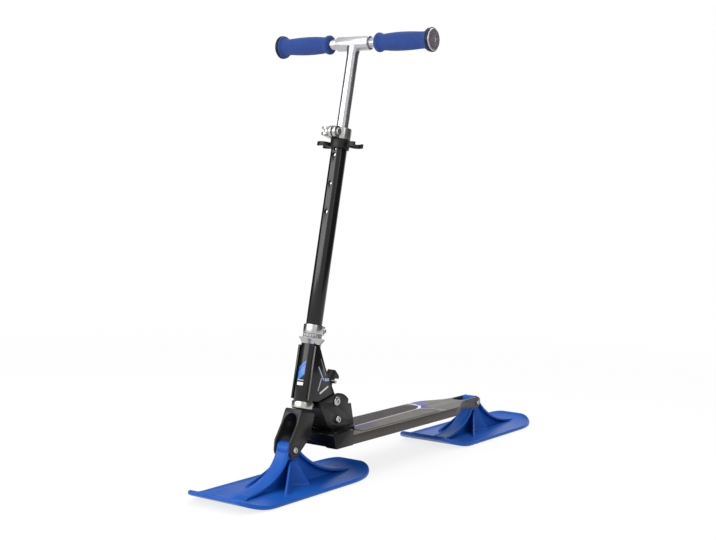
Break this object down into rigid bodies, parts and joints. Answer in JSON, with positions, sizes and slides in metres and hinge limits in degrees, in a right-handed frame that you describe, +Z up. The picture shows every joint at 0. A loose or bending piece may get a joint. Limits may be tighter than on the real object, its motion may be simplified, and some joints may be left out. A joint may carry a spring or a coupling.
{
  "type": "snow scooter",
  "caption": "Folding T-bar snow scooter: a narrow deck and a steered fork, each end carried on a pitching moulded ski with web and ribs.",
  "frame": {"origin": "on the ground, midway between the two ski axles, in the middle plane", "axes": "+X forward in the riding direction, +Y to the rider's left, +Z up"},
  "size_m": [1.005, 0.3488, 0.8269],
  "materials": {
    "blue_shell": "moulded polyethylene, soft sheen",
    "blue_foam": "closed foam, matte",
    "satin_aluminium": "satin brushed",
    "silver": "zinc plated",
    "grey_steel": "satin grey",
    "gloss_black": "gloss powder coat",
    "deck_grey": "dark metallic",
    "grit_tape": "grit sheet with pale stripes",
    "moulded_black": "moulded nylon",
    "white_nylon": "natural nylon"
  },
  "bodies": {
    "deck_body": {"deck": "deck_grey", "grip_tape": "grit_tape", "deck_nose": "gloss_black", "deck_bracket": "gloss_black", "fold_pivot_bolt": "silver", "fold_pivot_nut": "silver", "stop_bolt": "silver", "stop_nut": "silver", "stop_spacer": "grey_steel", "bracket_screw_left": "silver", "bracket_screw_right": "silver", "rear_axle_bolt": "silver", "rear_axle_nut": "silver", "rear_spacer_left": "white_nylon", "rear_spacer_right": "white_nylon"},
    "rear_ski_body": {"rear_ski": "blue_shell"},
    "upright": {"head_tube": "gloss_black", "lower_cup": "silver", "upper_cup": "silver", "lower_bearing": "grey_steel", "upper_bearing": "grey_steel", "lever_pin": "silver"},
    "release": {"release_lever": "moulded_black"},
    "steering": {"fork": "gloss_black", "steering_tube": "gloss_black", "headset_nut": "grey_steel", "headset_collar": "silver", "collar_bolt": "silver", "tube_bushing": "moulded_black", "upper_clamp": "silver", "clamp_bolt": "silver", "clamp_nut": "silver", "handle_clip": "moulded_black", "front_axle_bolt": "silver", "front_axle_nut": "silver", "front_spacer_left": "white_nylon", "front_spacer_right": "white_nylon"},
    "clamp_lever_body": {"clamp_lever": "silver"},
    "front_ski_body": {"front_ski": "blue_shell"},
    "t_bar": {"t_stem": "satin_aluminium", "stem_guide": "white_nylon"},
    "height_button_body": {"height_button": "silver"},
    "left_handle": {"handle_tube_left": "satin_aluminium", "grip_left": "blue_foam", "grip_rim_left": "moulded_black", "end_cap_left": "silver"},
    "right_handle": {"handle_tube_right": "satin_aluminium", "grip_right": "blue_foam", "grip_rim_right": "moulded_black", "end_cap_right": "silver"},
    "left_button": {"handle_button_left": "silver"},
    "right_button": {"handle_button_right": "silver"}
  },
  "joints": [
    {"name": "fold", "type": "hinge", "parent": "deck_body", "child": "upright", "pos_m": [0.2135, 0, 0.1085], "axis": [0, -1, 0], "range_deg": [0, 62]},
    {"name": "release_turn", "type": "hinge", "parent": "upright", "child": "release", "pos_m": [0.2145, 0, 0.178], "axis": [0, -1, 0], "range_deg": [0, 37.2]},
    {"name": "steer", "type": "hinge", "parent": "upright", "child": "steering", "pos_m": [0.3045, 0, 0.069], "axis": [-0.1994, 0, 0.9799], "range_deg": [-40, 40]},
    {"name": "front_ski_pitch", "type": "hinge", "parent": "steering", "child": "front_ski_body", "pos_m": [0.3325, 0, 0.069], "axis": [0, -1, 0], "range_deg": [-8, 30]},
    {"name": "rear_ski_pitch", "type": "hinge", "parent": "deck_body", "child": "rear_ski_body", "pos_m": [-0.3325, 0, 0.069], "axis": [0, -1, 0], "range_deg": [-30, 8]},
    {"name": "t_bar_height", "type": "slide", "parent": "steering", "child": "t_bar", "axis": [-0.1994, 0, 0.9799], "range_m": [-0.1074, 0]},
    {"name": "clamp_lever_turn", "type": "hinge", "parent": "steering", "child": "clamp_lever_body", "pos_m": [0.21239, -0.0176, 0.63959], "axis": [-0.1994, 0, 0.9799], "range_deg": [0, 150]},
    {"name": "height_button_travel", "type": "slide", "parent": "t_bar", "child": "height_button_body", "axis": [0.9799, 0, 0.1994], "range_m": [0, 0.0045]},
    {"name": "left_handle_pull", "type": "slide", "parent": "t_bar", "child": "left_handle", "axis": [0, 1, 0], "range_m": [0, 0.03]},
    {"name": "right_handle_pull", "type": "slide", "parent": "t_bar", "child": "right_handle", "axis": [0, -1, 0], "range_m": [0, 0.03]},
    {"name": "left_button_travel", "type": "slide", "parent": "left_handle", "child": "left_button", "axis": [-0.9799, 0, -0.1994], "range_m": [0, 0.0039]},
    {"name": "right_button_travel", "type": "slide", "parent": "right_handle", "child": "right_button", "axis": [-0.9799, 0, -0.1994], "range_m": [0, 0.0039]}
  ],
  "couplings": [
    {"joint": "release_turn", "follows": "fold", "ratio": 0.6}
  ]
}
